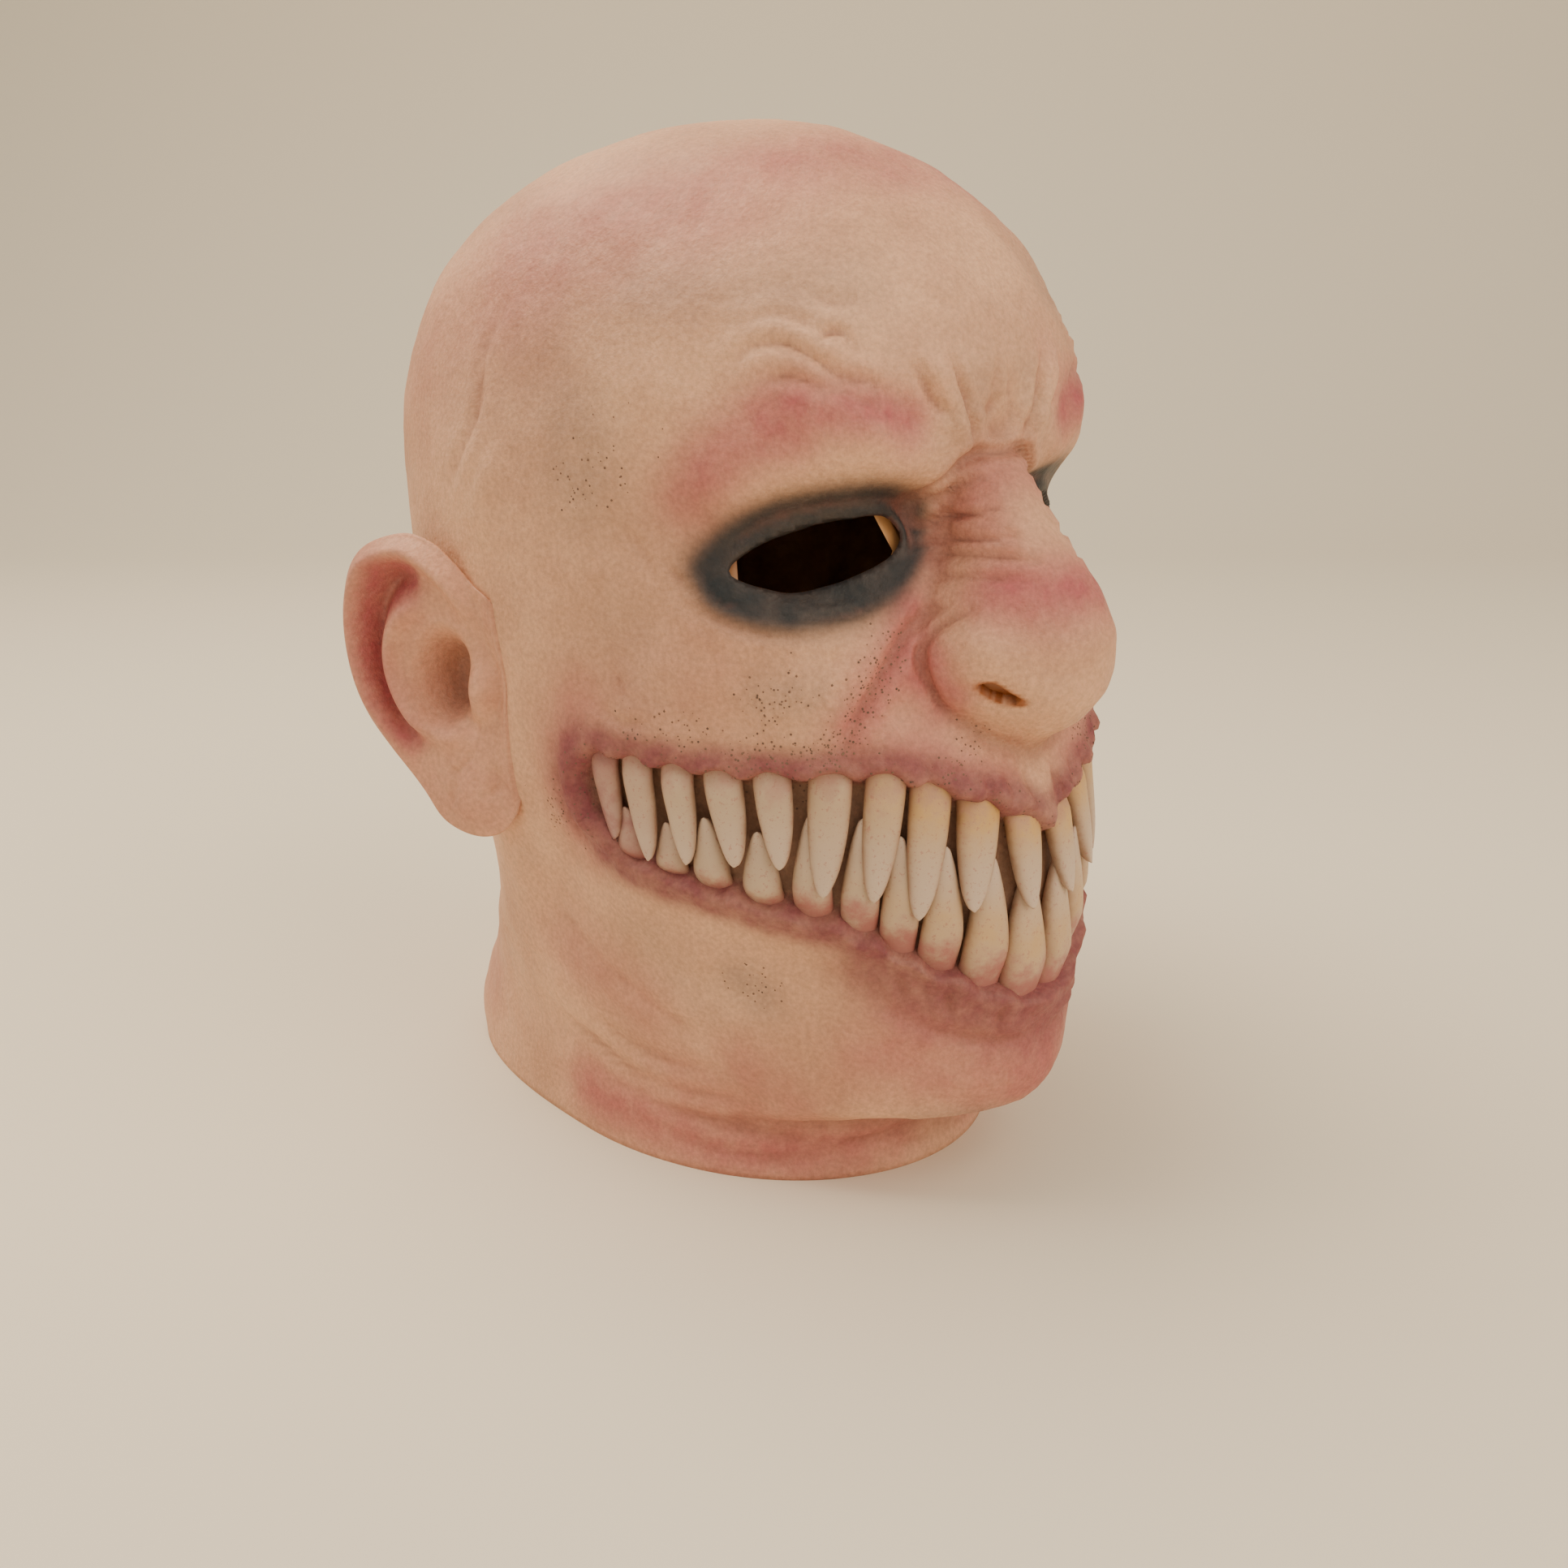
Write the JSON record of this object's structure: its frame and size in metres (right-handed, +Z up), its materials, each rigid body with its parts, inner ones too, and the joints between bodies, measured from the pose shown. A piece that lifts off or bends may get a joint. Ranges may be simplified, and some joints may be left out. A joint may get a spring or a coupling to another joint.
{
  "type": "full head costume mask",
  "caption": "Full-head moulded latex costume mask: bald wrinkled head with open eye holes, ears and a wide grin of long pointed teeth; open at the neck.",
  "frame": {"origin": "on the floor, in the plane of the neck rim, under the middle of the mask's bounding box", "axes": "+Z up through the crown, the face looks towards -Y, the wearer's right side is at -X"},
  "size_m": [0.206, 0.2366, 0.2825],
  "materials": {
    "latex_skin": "matte",
    "latex_lips": "matte",
    "latex_web": "matte",
    "latex_teeth": "satin"
  },
  "bodies": {
    "root": {"head_skin": "latex_skin", "ear_right": "latex_skin", "ear_left": "latex_skin", "upper_lip": "latex_lips", "lower_lip": "latex_lips", "mouth_web": "latex_web", "upper_tooth_right_1": "latex_teeth", "upper_tooth_right_2": "latex_teeth", "upper_tooth_right_3": "latex_teeth", "upper_tooth_right_4": "latex_teeth", "upper_tooth_right_5": "latex_teeth", "upper_tooth_right_6": "latex_teeth", "upper_tooth_right_7": "latex_teeth", "upper_tooth_right_8": "latex_teeth", "upper_tooth_right_9": "latex_teeth", "upper_tooth_right_10": "latex_teeth", "upper_tooth_left_1": "latex_teeth", "upper_tooth_left_2": "latex_teeth", "upper_tooth_left_3": "latex_teeth", "upper_tooth_left_4": "latex_teeth", "upper_tooth_left_5": "latex_teeth", "upper_tooth_left_6": "latex_teeth", "upper_tooth_left_7": "latex_teeth", "upper_tooth_left_8": "latex_teeth", "upper_tooth_left_9": "latex_teeth", "upper_tooth_left_10": "latex_teeth", "lower_tooth_right_1": "latex_teeth", "lower_tooth_right_2": "latex_teeth", "lower_tooth_right_3": "latex_teeth", "lower_tooth_right_4": "latex_teeth", "lower_tooth_right_5": "latex_teeth", "lower_tooth_right_6": "latex_teeth", "lower_tooth_right_7": "latex_teeth", "lower_tooth_right_8": "latex_teeth", "lower_tooth_right_9": "latex_teeth", "lower_tooth_right_10": "latex_teeth", "lower_tooth_left_1": "latex_teeth", "lower_tooth_left_2": "latex_teeth", "lower_tooth_left_3": "latex_teeth", "lower_tooth_left_4": "latex_teeth", "lower_tooth_left_5": "latex_teeth", "lower_tooth_left_6": "latex_teeth", "lower_tooth_left_7": "latex_teeth", "lower_tooth_left_8": "latex_teeth", "lower_tooth_left_9": "latex_teeth", "lower_tooth_left_10": "latex_teeth"}
  },
  "joints": []
}
